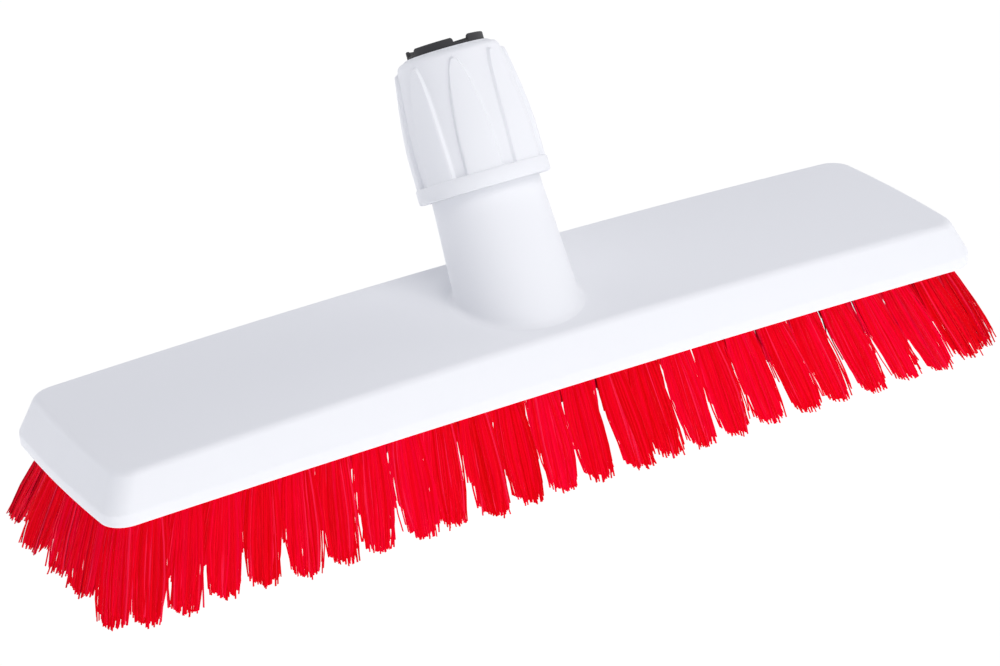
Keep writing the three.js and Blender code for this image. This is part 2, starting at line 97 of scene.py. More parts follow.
def factor(label, value, words):
    """A plain share or strength."""
    return FloatProperty(name=label, description=words, default=value, min=0)


class BlockSizes(bpy.types.PropertyGroup):
    """The moulded block that carries the tufts."""

    span: length("Length", (BLOCK_HIGH.x - BLOCK_LOW.x) / MM, "Block from end to end")
    width: length("Width", (BLOCK_HIGH.y - BLOCK_LOW.y) / MM, "Block from front to back")
    height: length("Height", 15.4, "Underside to top face at the ends")
    arch: length("Arch", 1.6, "How far the whole block rises at mid length")
    crown: length("Crown", 1.7, "Extra thickness at mid length")
    dome: length("Dome", 1.5, "Extra height along the middle line of the top face")
    lip_height: length("Lip Height", 4.2, "Upright band around the underside")
    lip_corner: length("Lip Corner Radius", 7, "Corner of the lip, seen from above")
    top_corner: length("Top Corner Radius", 6, "Corner of the top face, seen from above")
    end_draft: length("End Draft", 5.5, "How far the ends lean in")
    side_draft: length("Side Draft", 3.3, "How far the front and the back lean in")
    end_bow: length("End Bow", 1.4, "How far the ends bulge at mid width")
    top_edge: length("Top Edge Radius", 2.6, "Rounding of the top face's edge")
    bottom_edge: length("Bottom Edge Radius", 0.8, "Rounding of the lip's lower edge")
    crease: length("Lip Crease", 0.5, "Half of the soft break above the lip")


class TuftSizes(bpy.types.PropertyGroup):
    """The drilled underside and its tufts of filaments."""

    trim: length("Trim Height", 29.5, "Floor to the block's underside at the ends")
    pitch: length("Tuft Pitch", 11.8, "Between two tufts of a row")
    row_spacing: length("Row Spacing", 11.2, "Between two rows")
    long_row: count("Tufts in the Rear Row", 25, "Staggered rows have one less, and inner ones two less")
    rows: count("Rows", 6, "Rows from front to back")
    end_inset: length("End Inset", 8.6, "Block's end to the middle of the tufts along it")
    end_spacing: length("End Spacing", 12.9, "Between the tufts along an end")
    corner_setback: length("Corner Setback", 3.5, "Front corner tufts behind the front row")
    hole: length("Hole Diameter", 7, "Drilled hole of one tuft")
    hole_depth: length("Hole Depth", 5.5, "Depth of a tuft hole")
    tip: length("Tip Diameter", 8.7, "Spread of a tuft at its trimmed end")
    side_lean: angle("Side Lean", 22, "Outward lean of the front and rear rows")
    end_lean: angle("End Lean", 21.4, "Outward lean of the end tufts")
    filament: length("Filament Diameter", 0.6, "Thickness of one filament")
    filaments: count("Filaments", 125, "Filaments in one tuft")
    ragged: length("Ragged Trim", 1.0, "How far the trimmed ends differ in height")
    round_end: length("Rounded End", 2.8, "How much shorter a tuft is at its two sides along the row")
    bow: length("Bow", 0.5, "How far a filament bows at mid length")
    belly: length("Belly", 1.2, "How much further out a tuft's outer filaments stand at mid length")
    stray: length("Stray", 0.6, "How far a filament's tip strays from its place")
    tuft_stray: length("Tuft Stray", 0.7, "How far the tip of a whole tuft strays")
    seed: count("Seed", 7, "Start of the random draws")


class SocketSizes(bpy.types.PropertyGroup):
    """The hollow stem, along its own axis from the block's top."""

    lean: angle("Lean", math.degrees(math.atan2(STEM_AXIS[1], STEM_AXIS[2])), "Stem back from upright")
    base: length("Base Height", 47.7, "Floor to where the stem's axis leaves the block")
    setback: length("Setback", 6.8, "Where the stem's axis leaves the block, in front of its middle")
    stem: length("Stem Length", 42, "Block to the shoulder under the neck")
    base_radius: length("Base Radius", 19.1, "Stem at the block")
    top_radius: length("Top Radius", 17, "Stem at its shoulder")
    fillet: length("Fillet", 2.2, "Rounding between stem and block")
    neck_radius: length("Neck Radius", 15.6, "Neck under its thread")
    neck: length("Neck Length", 26, "Shoulder to the neck's end")
    seat_radius: length("Seat Radius", 12.6, "Collet seat at the neck's end")
    seat_tip_radius: length("Seat Tip Radius", 12.15, "Collet seat at its lower end")
    seat_bottom: length("Seat Bottom", 50.3, "Lower end of the collet seat")
    bore_radius: length("Bore Radius", 11.25, "Socket for the handle")
    stop: length("Stop Height", 8, "Floor of the socket")
    edge: length("Edge Break", 0.5, "Small chamfers")
    thread_start: length("Thread Start", 46.5, "Middle of the first ridge on the neck")
    thread_pitch: length("Thread Pitch", 6, "Rise of the thread in one turn")
    thread_depth: length("Thread Depth", 1.2, "Height of the ridge")
    thread_root: length("Ridge Root", 3.4, "Width of the ridge at its sunk root")
    thread_crest: length("Ridge Crest", 1.8, "Width of the ridge at its crest")
    thread_turns: count("Thread Turns", 2, "Turns of the ridge")


class CollarSizes(bpy.types.PropertyGroup):
    """The lock collar, along the stem's axis from the block's top."""

    bottom: length("Bottom", 37.2, "Lower end of the collar")
    band: length("Band Height", 5, "Plain band at the bottom")
    band_radius: length("Band Radius", 21.1, "Outside of the band")
    face_radius: length("Face Radius", 20.65, "Petal faces at their foot")
    taper: length("Taper", 3, "How much slimmer the collar is at the petals' tips")
    taper_start: length("Taper Start", 52.2, "Where the petals start to taper")
    taper_power: factor("Taper Power", 1.45, "Above 1 the taper grows steeper upwards")
    petals: count("Petals", 8, "Raised tongues around the collar")
    petal_angle: angle("Petal Angle", 30, "Width of a petal at its foot")
    petal_edge: angle("Petal Edge", 2.6, "Angle over which a petal's edge slopes down")
    petal_tip: length("Petal Tip", 77.6, "Upper end of the petals")
    tip_edge: length("Tip Edge", 0.9, "Height over which a petal's tip slopes down")
    petal_turn: angle("Petal Turn", 21, "From the front of the stem to the nearest petal")
    relief: length("Relief", 1.1, "How far the petals stand out")
    lip_radius: length("Lip Radius", 14, "Outer edge of the top face")
    lip_top: length("Lip Top", 80.8, "Height of the top face's outer edge")
    top: length("Top", 81.5, "Height of the mouth")
    mouth_radius: length("Mouth Radius", 12.7, "Opening around the collet")
    groove_radius: length("Groove Radius", 14.45, "Groove of the collet's flange")
    groove_bottom: length("Groove Bottom", 72.5, "Lower face of that groove")
    groove_top: length("Groove Top", 77.1, "Upper face of that groove")
    ceiling: length("Ceiling", 70.5, "End of the threaded bore")
    thread_radius: length("Thread Radius", 17.1, "Threaded bore outside the ridge")
    crest_radius: length("Crest Radius", 15.9, "Inner side of the ridge")
    thread_top: length("Thread Top", 64.5, "Upper end of the threaded bore")
    thread_start: length("Thread Start", 49.5, "Middle of the first ridge in the bore")
    skirt_radius: length("Skirt Radius", 17.6, "Bore of the skirt around the stem")
    skirt_top: length("Skirt Top", 44, "Upper end of the skirt's bore")
    soft: length("Soft Edge", 0.35, "Rounding of the mouth's and the band's edges")


class ColletSizes(bpy.types.PropertyGroup):
    """The split collet, along the stem's axis from the block's top."""

    bottom: length("Bottom", 52.8, "Tips of the fingers")
    tip_radius: length("Tip Radius", 11.85, "Outside of the fingers' tips")
    radius: length("Radius", 12.3, "Outside at the flange and the mouth")
    bore_radius: length("Bore Radius", 11.25, "Inside, around the handle")
    flange_radius: length("Flange Radius", 14.15, "Flange in the collar's groove")
    flange_bottom: length("Flange Bottom", 72.8, "Lower face of the flange")
    flange_top: length("Flange Top", 76.8, "Upper face of the flange")
    ring_top: length("Ring Top", 82.3, "Ring between the tabs")
    tab: length("Tab Height", 1.8, "How far the tabs stand above the ring")
    tabs: count("Tabs", 4, "Tabs on the ring")
    tab_gap: angle("Tab Gap", 24, "Open angle between two tabs")
    tab_corner: length("Tab Corner", 0.9, "Rounded corners of the tabs")
    fingers: count("Fingers", 6, "Split fingers")
    slit: length("Slit Width", 1.6, "Slit between two fingers")
    slit_length: length("Slit Length", 16, "How far the slits run up")
    edge: length("Edge Rounding", 0.3, "Rounding of the ring's rim")


class Finishes(bpy.types.PropertyGroup):
    """Colours of the finishes."""

    white: colour("White Plastic", (0.86, 0.865, 0.88), "Moulded block, stem and collar")
    white_cool: colour("White Mottle", (0.825, 0.835, 0.86), "Cooler patches of the white plastic")
    black: colour("Black Plastic", (0.002, 0.002, 0.0022), "Collet")
    black_worn: colour("Black Mottle", (0.006, 0.006, 0.0065), "Paler patches of the black plastic")
    red_deep: colour("Deep Red", (0.7, 0.0, 0.001), "Darkest filaments")
    red: colour("Red", (0.89, 0.0, 0.01), "Most filaments")
    red_bright: colour("Bright Red", (0.97, 0.0, 0.034), "Bright filaments")
    # Painted highlight: this pale pinkish red on a few filaments stands in for glints of light
    red_painted_glint: colour("Pale Red", (0.97, 0.012, 0.055), "A few filaments that catch the light")


class StageSettings(bpy.types.PropertyGroup):
    """Camera, lamps and floor."""

    azimuth: angle("Azimuth", -27.99, "Camera round the brush, from the front")
    elevation: angle("Elevation", 25.55, "Camera above the horizon")
    roll: angle("Roll", 3.88, "Camera turned about its own line of sight")
    distance: length("Distance", 1064.25, "Camera to its aim")
    aim_height: length("Aim Height", 30, "Point over the floor that the camera turns round")
    lens: factor("Lens", 122.28, "Focal length in millimetres on a 36 mm sensor")
    shift_x: FloatProperty(name="Shift X", description="Framing sideways", default=-0.01123)
    shift_y: FloatProperty(name="Shift Y", description="Framing upwards", default=0.01472)
    ambient: factor("Ambient", 0.45, "Light from all around")
    sky: colour("Sky", (0.85, 0.88, 1.0), "Tint of the light from all around")
    key: factor("Key Power", 2.5, "Lamp in front, in watts")
    high: factor("High Power", 6.3, "Lamp high in front, in watts")
    back: factor("Back Power", 3, "Lamp behind, in watts")
    right: factor("Right Power", 2.2, "Lamp at the right, in watts")
    lamp: colour("Lamp Tint", (1.0, 0.98, 0.95), "Tint of all lamps")
    lamp_size: length("Lamp Size", 700, "Side of a square lamp")
    lamp_distance: length("Lamp Distance", 1400, "Lamps to the brush")
    floor: colour("Floor", (0.9, 0.9, 0.9), "Pale floor")
    reach: length("Floor Reach", 3000, "Half of the floor's side")
    clearance: length("Floor Clearance", 0.1, "Floor under the trimmed bristles")
    table_light: factor("Table Light", 0.57, "Light that the floor throws up, as a lit table does")
    glow: factor("Floor Glow", 0.92, "How far the floor's white hides its shadows")


class BrushSettings(bpy.types.PropertyGroup):
    """All settings of the brush."""

    block: PointerProperty(type=BlockSizes)
    tufts: PointerProperty(type=TuftSizes)
    socket: PointerProperty(type=SocketSizes)
    collar: PointerProperty(type=CollarSizes)
    collet: PointerProperty(type=ColletSizes)
    finish: PointerProperty(type=Finishes)
    stage: PointerProperty(type=StageSettings)


# Meshes


def grid_quads(rows, columns, joined=False):
    """Quads between neighbouring rows of a grid whose columns close into a loop. The last row also
    meets the first one if the grid is joined. Columns crossed with rows point outwards."""
    here = np.arange(rows if joined else rows - 1)[:, None] * columns
    above = (here + columns) % (rows * columns)
    column = np.arange(columns)[None, :]
    following = (column + 1) % columns
    return np.stack([here + column, here + following, above + following, above + column], -1).reshape(-1, 4)


def gather(*parts):
    """One array of points and a list of face arrays from several parts, with the face numbers shifted."""
    points = [part[0].reshape(-1, 3) for part in parts]
    starts = np.cumsum([0] + [len(each) for each in points])
    faces = [each + start for part, start in zip(parts, starts) for each in part[1:]]
    return np.concatenate(points), faces


def add_piece(name, points, faces, weld=None, crease=40):
    """A mesh object from an array of points and arrays of faces. Points closer than weld become one, and
    edges that turn by more than crease degrees stay sharp."""
    mesh = bpy.data.meshes.new(name)
    corners = np.concatenate([each.ravel() for each in faces])
    sides = np.concatenate([np.full(len(each), each.shape[1]) for each in faces])
    mesh.vertices.add(len(points))
    mesh.vertices.foreach_set("co", points.astype(np.float32).ravel())
    mesh.loops.add(len(corners))
    mesh.loops.foreach_set("vertex_index", corners.astype(np.int32))
    mesh.polygons.add(len(sides))
    mesh.polygons.foreach_set("loop_start", (np.cumsum(sides) - sides).astype(np.int32))
    mesh.update(calc_edges=True)
    if weld:
        solid = bmesh.new()
        solid.from_mesh(mesh)
        bmesh.ops.remove_doubles(solid, verts=solid.verts, dist=weld)
        solid.to_mesh(mesh)
        solid.free()
    if mesh.validate():
        raise ValueError(f"{name} has faces that make no mesh")
    mesh.shade_smooth()
    mesh.set_sharp_from_angle(angle=math.radians(crease))
    piece = bpy.data.objects.new(name, mesh)
    bpy.context.scene.collection.objects.link(piece)
    return piece


def dress(piece, material, body, slot, *nodes):
    """Gives a piece its material, ties it to its body and hides the nodes it stands for. The slot is not
    used.
    """
    piece.data.materials.append(material)
    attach(piece, body)
    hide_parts(*nodes)


def arc(steps, start=0.0, stop=math.pi / 2):
    """Evenly spaced values, both ends included, and by default the angles of a quarter turn."""
    return np.linspace(start, stop, steps + 1)


def smooth(share):
    """A step from 0 to 1 with level ends."""
    share = np.clip(share, 0, 1)
    return share * share * (3 - 2 * share)


def revolve(profile, turns):
    """A profile of radius and height, turned round the stem's axis to the given angles."""
    radius, height = np.asarray(profile, float).T
    across = np.stack([np.cos(turns), np.sin(turns)], -1)
    return np.concatenate(
        [
            radius[:, None, None] * across[None],
            np.broadcast_to(height[:, None, None], (len(radius), len(turns), 1)),
        ],
        -1,
    )


def on_stem(settings, local):
    """Points given along the stem's axis, brought into the brush's frame: leaned back about X and moved to
    where the axis leaves the block."""
    socket = settings.socket
    lean = socket.lean
    x, y, z = np.moveaxis(local, -1, 0)
    return np.stack(
        [
            x,
            y * math.cos(lean) + z * math.sin(lean) - socket.setback,
            z * math.cos(lean) - y * math.sin(lean) + socket.base,
        ],
        -1,
    )


def thread_ridge(socket, root, crest, start, steps=48):
    """A thread ridge: a four-sided section carried along a helix that climbs one pitch a turn. The root is
    sunk into its wall by half of the ridge's depth."""
    sunk = root + math.copysign(socket.thread_depth / 2, root - crest)
    half_root, half_crest = socket.thread_root / 2, socket.thread_crest / 2
    section = np.array([(sunk, half_root), (crest, half_crest), (crest, -half_crest), (sunk, -half_root)])
    if crest < root:
        section = section[::-1]
    turn = arc(steps * socket.thread_turns, 0, 2 * math.pi * socket.thread_turns)[:, None]
    radius, offset = section.T
    height = start + socket.thread_pitch * turn / (2 * math.pi) + offset
    points = np.stack([radius * np.cos(turn), radius * np.sin(turn), height], -1)
    last = (len(points) - 1) * 4
    caps = np.array([[3, 2, 1, 0], [last, last + 1, last + 2, last + 3]])
    return points, grid_quads(len(points), 4), caps


# Block and stem

SIDE_STEPS = 150  # along the front and the back
END_STEPS = 36  # along each end
HOLE_STEPS = 20  # round a tuft hole
CORNER_STEPS = 6  # along half of a block corner
LOW_EDGE_STEPS = 4  # round the lip's lower edge
CREASE_STEPS = 4  # through the soft break above the lip
TOP_EDGE_STEPS = 10  # round the top face's edge
FACE_STEPS = 14  # over the top face to the stem
STEM_STEPS = 8  # up the stem
DOME_POWER = 8  # how late the dome falls towards the ends


def loop_columns(steps_x, steps_y):
    """Side, step and number of steps for every column round a rectangle, counter-clockwise from its front
    left corner: front, right, back and left."""
    steps = np.array([steps_x, steps_y, steps_x, steps_y])
    side = np.repeat(np.arange(4), steps)
    step = np.arange(steps.sum()) - np.repeat(np.cumsum(steps) - steps, steps)
    return side, step, steps[side]


def rectangle(half_x, half_y, radius, columns):
    """A rounded rectangle. Each column slides along its side between two corner centres, and its normal
    turns through half of a corner at each end."""
    side, step, steps = columns
    corners = np.array([[-1, -1], [1, -1], [1, 1], [-1, 1]])
    along = np.clip((step - CORNER_STEPS) / (steps - 2 * CORNER_STEPS), 0, 1)[:, None]
    middle = np.array([half_x, half_y]) - radius
    centre = middle * ((1 - along) * corners[side] + along * corners[(side + 1) % 4])
    turn = np.clip(step / CORNER_STEPS, 0, 1) - 1 + np.clip((step - steps) / CORNER_STEPS + 1, 0, 1)
    facing = math.pi / 2 * (side - 1) + math.pi / 4 * turn
    return centre + radius * np.stack([np.cos(facing), np.sin(facing)], -1)


def mid_share(block, x):
    """1 at mid length, falling to 0 at the ends as a parabola."""
    return 1 - (2 * x / block.span) ** 2


def underside(block, tufts, x):
    """Height of the arched underside."""
    return tufts.trim + block.arch * mid_share(block, x)


def top_face(block, tufts, x, y):
    """Height of the crowned top face. Its dome is a parabola across the block. Lengthwise it stays level
    until it falls to nothing at the ends."""
    crowned = underside(block, tufts, x) + block.height + block.crown * mid_share(block, x)
    half_x = block.span / 2 - draft_inset(block, block.end_draft, block.height)
    half_y = block.width / 2 - draft_inset(block, block.side_draft, block.height)
    across = np.maximum(1 - (y / half_y) ** 2, 0)
    along = np.maximum(1 - (x / half_x) ** DOME_POWER, 0)
    return crowned + block.dome * across * along


def draft_inset(block, draft, height):
    """How far the skin is set in at a height: upright at the lip, a soft break, a straight draft, and a
    round edge that ends level with the top."""
    tilt = math.atan2(draft, block.height - block.lip_height)
    radius = block.top_edge
    above = height - block.lip_height
    slope = np.where(
        np.abs(above) < block.crease,
        (above + block.crease) ** 2 / (4 * block.crease),
        np.maximum(above, 0),
    )
    edge_foot = block.height - radius + radius * math.sin(tilt)
    centre = (edge_foot - block.lip_height) * math.tan(tilt) + radius * math.cos(tilt)
    rounding = np.sqrt(np.maximum(radius**2 - (height - block.height + radius) ** 2, 0))
    return np.where(height < edge_foot, slope * math.tan(tilt), centre - rounding)


def block_rows(block, tufts):
    """The block's skin as rows of one outline at rising heights: rounded lower edge, lip, draft, round top
    edge. The ends bulge as parabolas. The outline's corners grow tighter, and the crown comes in, with the
    height above the lip."""
    columns = loop_columns(SIDE_STEPS, END_STEPS)
    low = arc(LOW_EDGE_STEPS)
    edge = arc(TOP_EDGE_STEPS, math.atan2(block.side_draft, block.height - block.lip_height))
    lip = block.lip_height + block.crease * arc(CREASE_STEPS, -1, 1)
    heights = np.concatenate(
        [
            block.bottom_edge * (1 - np.cos(low)),
            lip,
            [0.5 * (block.lip_height + block.height - block.top_edge)],
            block.height - block.top_edge + block.top_edge * np.sin(edge),
        ]
    )
    lower = np.concatenate([block.bottom_edge * (1 - np.sin(low)), np.zeros(len(heights) - len(low))])
    rows = []
    for height, inset in zip(heights, lower):
        share = max(0, (height - block.lip_height) / (block.height - block.lip_height))
        radius = block.lip_corner + (block.top_corner - block.lip_corner) * share
        half_x = block.span / 2 - inset - draft_inset(block, block.end_draft, height)
        half_y = block.width / 2 - inset - draft_inset(block, block.side_draft, height)
        outline = rectangle(half_x, half_y, radius, columns)
        outline[:, 0] += block.end_bow * outline[:, 0] / half_x * (1 - (outline[:, 1] / half_y) ** 2)
        x = outline[:, 0]
        level = underside(block, tufts, x) + height + share * block.crown * mid_share(block, x)
        rows.append(np.column_stack([outline, level]))
    return np.stack(rows)


def stem_foot(socket, turns, lift, steps=10):
    """The fillet between block and stem, along the stem's axis. On each line up the stem a circular arc,
    drawn as a rational curve of three points, joins a level plane to the tapered stem. The plane lies
    higher by the lift than the start of the stem's axis."""
    taper = (socket.base_radius - socket.top_radius) / socket.stem
    zero = np.zeros_like(turns)
    sideways = np.stack([np.cos(turns), np.sin(turns), zero], -1)
    block_up = np.array([0, -math.sin(socket.lean), math.cos(socket.lean)])
    tilt = np.sin(turns) * math.sin(socket.lean)
    rise = (lift + socket.base_radius * tilt) / (math.cos(socket.lean) + taper * tilt)
    crease = sideways * (socket.base_radius - taper * rise)[:, None]
    crease[:, 2] = rise
    along = sideways - (sideways @ block_up)[:, None] * block_up
    along /= np.linalg.norm(along, axis=1, keepdims=True)
    up = -taper * sideways
    up[:, 2] = 1
    up /= np.linalg.norm(up, axis=1, keepdims=True)
    half = np.arccos((along * up).sum(1)) / 2
    reach = (socket.fillet / np.tan(half))[:, None]
    share = arc(steps, 0, 1)[:, None, None]
    weights = (1 - share) ** 2, 2 * share * (1 - share) * np.sin(half)[None, :, None], share**2
    ends = crease + along * reach, crease, crease + up * reach
    return sum(w * p for w, p in zip(weights, ends)) / sum(weights)


def head_skin(settings):
    """Block and stem as one unbroken skin on one grid. Its columns run round the block, and its rows run
    from the lower edge over the lip and up the side, over the top face to the stem, up the stem and the
    neck, and down the socket to its stop."""
    block, tufts, socket = settings.block, settings.tufts, settings.socket
    skin = block_rows(block, tufts)
    rim = skin[-1]
    lean = socket.lean
    turns = np.arctan2(math.cos(lean) * (rim[:, 1] + socket.setback), rim[:, 0])
    plane = top_face(block, tufts, 0.0, -socket.setback)
    foot_local = stem_foot(socket, turns, plane - socket.base)
    foot = on_stem(settings, foot_local)
    fade = np.linspace(1, 0, len(foot))[:, None]
    foot[..., 2] += fade * (top_face(block, tufts, foot[..., 0], foot[..., 1]) - plane)
    share = smooth(arc(FACE_STEPS, 0, 1)[1:-1])
    across = rim[None, :, :2] + (foot[0] - rim)[None, :, :2] * share[:, None, None]
    face = np.concatenate([across, top_face(block, tufts, across[..., :1], across[..., 1:])], -1)
    shoulder = socket.stem - socket.edge
    climb = smooth(arc(STEM_STEPS, 0, 1)[1:])[:, None]
    height = foot_local[-1, :, 2] + climb * (shoulder - foot_local[-1, :, 2])
    radius = socket.base_radius + (socket.top_radius - socket.base_radius) * height / socket.stem
    side = np.stack([radius * np.cos(turns), radius * np.sin(turns), height], -1)
    neck_top = socket.stem + socket.neck
    bore = revolve(
        [
            (socket.top_radius - socket.edge, socket.stem),
            (socket.neck_radius, socket.stem),
            (socket.neck_radius, neck_top - socket.edge),
            (socket.neck_radius - socket.edge, neck_top),
            (socket.seat_radius, neck_top),
            (socket.seat_tip_radius, socket.seat_bottom),
            (socket.bore_radius, socket.seat_bottom),
            (socket.bore_radius, socket.stop),
        ],
        turns,
    )
    pole = on_stem(settings, np.array([[0, 0, socket.stop]]))
    rows = np.concatenate([skin, face, foot, on_stem(settings, np.concatenate([side, bore]))])
    points = np.concatenate([rows.reshape(-1, 3), pole])
    number = len(turns)
    last = (len(rows) - 1) * number + np.arange(number)
    fan = np.stack([last, np.roll(last, -1), np.full(number, len(points) - 1)], -1)
    return points, grid_quads(len(rows), number), fan


def tuft_places(block, tufts):
    """Middle and row of every tuft. Every second row, from the front one on, is staggered by half a pitch.
    The ends are closed by tufts that stand further out: the front row's are set back from the corners, and
    those of the inner rows are spaced evenly, counted from the rear row. The second row leaves its ends
    open, because the corner tufts stand there."""
    rear = tufts.rows - 1
    last_y = rear * tufts.row_spacing / 2
    end_x = block.span / 2 - tufts.end_inset
    places = []
    for row in range(tufts.rows):
        row_y = row * tufts.row_spacing - last_y
        fewer = 1 if row % 2 == 0 else 0 if row == rear else 2
        number = tufts.long_row - fewer
        x = (np.arange(number) - (number - 1) / 2) * tufts.pitch
        places.append(np.stack([x, np.full(number, row_y), np.full(number, row)], -1))
        end_y = row_y + tufts.corner_setback if row == 0 else last_y - (rear - row) * tufts.end_spacing
        if row not in (1, rear):
            places.append(np.array([[-end_x, end_y, row], [end_x, end_y, row]]))
    x, y, row = np.concatenate(places).T
    return np.stack([x, y], -1), row, np.array([end_x, last_y])


def drilled_underside(block, tufts):
    """The underside as triangles between its outline and the mouths of the tuft holes, and the blind holes
    as rings of quads with a flat floor. A triangle that lies in a hole has all corners on one mouth."""
    outline = block_rows(block, tufts)[0]
    place, _, _ = tuft_places(block, tufts)
    turns = 2 * math.pi * np.arange(HOLE_STEPS) / HOLE_STEPS
    mouths = place[:, None] + tufts.hole / 2 * np.stack([np.cos(turns), np.sin(turns)], -1)
    flat = np.concatenate([outline[:, :2], mouths.reshape(-1, 2)])
    border = np.arange(len(outline))
    ring = np.arange(HOLE_STEPS)
    starts = HOLE_STEPS * np.arange(len(place))[:, None]
    mouth_edges = len(border) + starts[..., None] + np.stack([ring, np.roll(ring, -1)], -1)
    edges = np.concatenate([np.stack([border, np.roll(border, -1)], -1), mouth_edges.reshape(-1, 2)])
    found = delaunay_2d_cdt((flat / MM).tolist(), edges.tolist(), [], 0, 1e-6)
    triangles = np.array(found[2])[:, ::-1]
    mouth = np.where(triangles < len(border), -1, (triangles - len(border)) // HOLE_STEPS)
    in_hole = (mouth[:, 0] >= 0) & (mouth == mouth[:, :1]).all(1)
    plate = np.column_stack([flat, underside(block, tufts, flat[:, 0])])
    rings = np.stack([mouths, mouths], 1)
    level = underside(block, tufts, rings[..., :1])
    level[:, 0] += tufts.hole_depth
    quads = (grid_quads(2, HOLE_STEPS)[None] + 2 * starts[..., None]).reshape(-1, 4)
    floors = ring[::-1] + 2 * starts
    return (plate, triangles[~in_hole]), (np.concatenate([rings, level], -1), quads, floors)


# Bristles

FILAMENT_SIDES = 3
FILAMENT_RINGS = np.array([0, 0.3, 0.58, 0.82, 1.0])  # shares of the way from the block to the floor
LOOSE_SHARE = 0.05  # filaments that stray further than the others
LOOSE_STRAY = 2.8  # how many times further
TRIM_POWER = 1.4  # more than 1 makes a few ends much shorter than the rest
TRIM_LIMIT = 4  # times the ragged trim, at most
ROUND_POWER = 4  # of the distance from a tuft's middle along the row, for its rounded end
ROOT_SHARE = 0.8  # how far down its hole a filament starts
THICKNESS_SPREAD = 0.3  # difference between the thickest and the thinnest filament
TONE_SPREAD = 0.6  # of single filaments
TUFT_TONE_SPREAD = 0.3  # of whole tufts
PAINTED_GLINT_SHARE = 0.04  # filaments painted in the palest tone, as highlights
WALL_SHARE = 1.1  # how far a filament is shaded like the outside of the whole field
WALL_POWER = 3  # more than 1 turns that shading to the nearest side of the field


def filament_paths(settings, place, reach, draw):
    """Middle lines of all filaments of the tufts at some places, as flat points and heights of their rings.
    In a tuft the filaments are spread as on a sunflower's head. Each runs from its hole to the floor along
    the tuft's lean, with its own bow, stray and trim. Those at a tuft's two sides are shorter. The first
    ring stands in the hole."""
    block, tufts = settings.block, settings.tufts
    shape = (len(place), tufts.filaments)
    order = np.arange(tufts.filaments)
    spread = np.sqrt((order + 0.5) / tufts.filaments)
    turn = order * math.pi * (3 - math.sqrt(5)) + 2 * math.pi * draw.random((len(place), 1))
    away = spread[None, :, None] * np.stack([np.cos(turn), np.sin(turn)], -1)
    ground = underside(block, tufts, place[..., 0])
    lean = np.array([tufts.end_lean, tufts.side_lean]) * place / reach
    root = place + away * (tufts.hole - tufts.filament) / 2
    wander = tufts.stray * draw.standard_normal((*shape, 2))
    wander *= np.where(draw.random(shape) < LOOSE_SHARE, LOOSE_STRAY, 1.0)[..., None]
    tuft_wander = tufts.tuft_stray * draw.standard_normal((len(place), 1, 2))
    tip = place + ground[..., None] * np.tan(lean) + away * tufts.tip / 2 + wander + tuft_wander
    trim = tufts.ragged * np.minimum(np.abs(draw.standard_normal(shape)) ** TRIM_POWER, TRIM_LIMIT)
    trim = (trim + tufts.round_end * away[..., 0] ** ROUND_POWER)[..., None]
    bow = tufts.bow * draw.standard_normal((*shape, 2)) + tufts.belly * away
    share = FILAMENT_RINGS[None, None, :, None]
    path = root[:, :, None] * (1 - share) + tip[:, :, None] * share
    path = path + bow[:, :, None] * 4 * share * (1 - share)
    height = ground[..., None] * (1 - share[..., 0]) + trim * share[..., 0]
    path[:, :, 0] -= np.tan(lean) * tufts.hole_depth * ROOT_SHARE
    height[:, :, 0] += tufts.hole_depth * ROOT_SHARE
    return path, height


def filament_tones(shape, draw):
    """A tone from 0 to 1 for every filament: its own, a part its whole tuft shares, and a few at 1, painted
    as highlights.
    """
    tone = TONE_SPREAD * draw.random(shape) + TUFT_TONE_SPREAD * draw.random((shape[0], 1))
    return np.where(draw.random(shape) < PAINTED_GLINT_SHARE, 1.0, tone)


def filament_normals(place, reach, facing, quads, caps):
    """Shading normals of all face corners: away from the filament's middle line, bent to the side of the
    whole field that the tuft is nearest to, and level on the two end caps."""
    open_side = (place / reach) ** WALL_POWER
    open_side /= np.linalg.norm(open_side, axis=-1, keepdims=True)
    bent = np.stack([np.cos(facing), np.sin(facing)], -1) + WALL_SHARE * open_side[:, :, None]
    bent = np.repeat(bent[:, :, None], len(FILAMENT_RINGS), 2).reshape(-1, 2)
    bent = np.column_stack([bent, np.zeros(len(bent))])
    ends = np.tile(np.repeat([[0, 0, 1], [0, 0, -1]], FILAMENT_SIDES, 0), (len(caps) // 2, 1))
    normals = np.concatenate([bent[quads.ravel()], ends])
    return normals / np.linalg.norm(normals, axis=1, keepdims=True)


def bristle_rows(settings, first_row, last_row):
    """Every filament of some rows as a slim three-sided prism along its path, with its normals and tone."""
    tufts = settings.tufts
    draw = np.random.default_rng(tufts.seed + first_row)
    place, row, reach = tuft_places(settings.block, tufts)
    place = place[(row >= first_row) & (row <= last_row), None]
    path, height = filament_paths(settings, place, reach, draw)
    shape = path.shape[:2]
    facing = 2 * math.pi * (draw.random(shape)[..., None] + np.arange(FILAMENT_SIDES) / FILAMENT_SIDES)
    slim = tufts.filament / 2 * (1 + THICKNESS_SPREAD * (draw.random(shape) - 0.5))
    ring = slim[..., None, None] * np.stack([np.cos(facing), np.sin(facing)], -1)
    flat = path[:, :, :, None] + ring[:, :, None]
    level = np.broadcast_to(height[..., None, None], (*flat.shape[:-1], 1))
    points = np.concatenate([flat, level], -1).reshape(-1, 3)
    rings = len(FILAMENT_RINGS)
    starts = np.arange(shape[0] * shape[1])[:, None, None] * rings * FILAMENT_SIDES
    quads = (grid_quads(rings, FILAMENT_SIDES)[None, :, ::-1] + starts).reshape(-1, 4)
    end = (rings - 1) * FILAMENT_SIDES
    caps = (np.array([[0, 1, 2], [end + 2, end + 1, end]])[None] + starts).reshape(-1, 3)
    tone = np.repeat(filament_tones(shape, draw).ravel(), rings * FILAMENT_SIDES)
    return points, [quads, caps], filament_normals(place, reach, facing, quads, caps), tone


# Collar and collet

